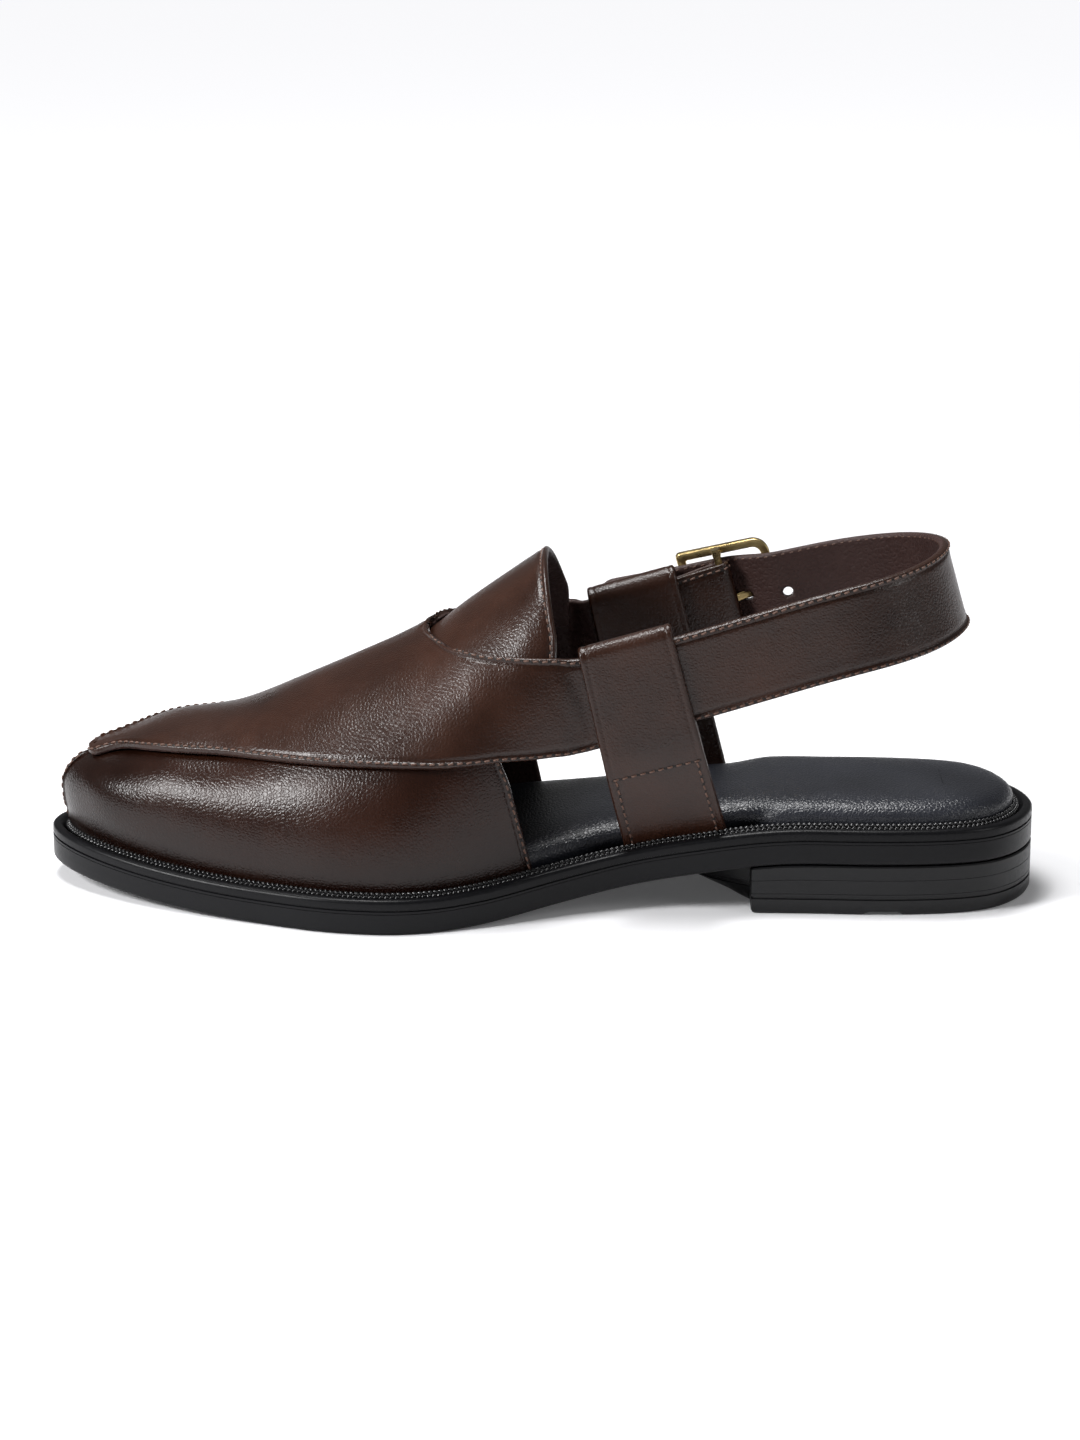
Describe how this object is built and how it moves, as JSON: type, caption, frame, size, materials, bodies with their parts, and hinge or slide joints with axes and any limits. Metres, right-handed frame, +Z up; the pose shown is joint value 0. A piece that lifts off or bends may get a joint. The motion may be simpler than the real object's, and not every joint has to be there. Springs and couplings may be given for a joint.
{
  "type": "peshawari chappal",
  "caption": "Brown leather peshawari chappal, right shoe: vamp slit at the toe, pointed overlay with wings through folded loops, heel strap with a brass buckle, black rubber sole and heel",
  "frame": {"origin": "centre of the bounding box's base, on the floor under the shoe", "axes": "-X to the toe, +X to the heel, -Y medial (the inner side, seen in the picture), +Y lateral (the buckle's side), +Z up"},
  "size_m": [0.303, 0.1122, 0.108],
  "materials": {
    "outsole_rubber": "satin",
    "heel_rubber": "satin",
    "insole_leather": "satin",
    "vamp_leather": "semi-gloss",
    "overlay_leather": "semi-gloss",
    "instep_leather": "semi-gloss",
    "medial_loop_leather": "semi-gloss",
    "lateral_loop_leather": "semi-gloss",
    "heel_strap_leather": "semi-gloss",
    "buckle_strap_leather": "semi-gloss",
    "frame_brass": "antique",
    "prong_brass": "antique"
  },
  "bodies": {
    "root": {"outsole": "outsole_rubber", "heel_block": "heel_rubber", "insole": "insole_leather", "vamp": "vamp_leather", "overlay": "overlay_leather", "instep_piece": "instep_leather", "medial_loop": "medial_loop_leather", "lateral_loop": "lateral_loop_leather", "heel_strap": "heel_strap_leather", "buckle_strap": "buckle_strap_leather", "buckle_frame": "frame_brass", "buckle_prong": "prong_brass"}
  },
  "joints": []
}
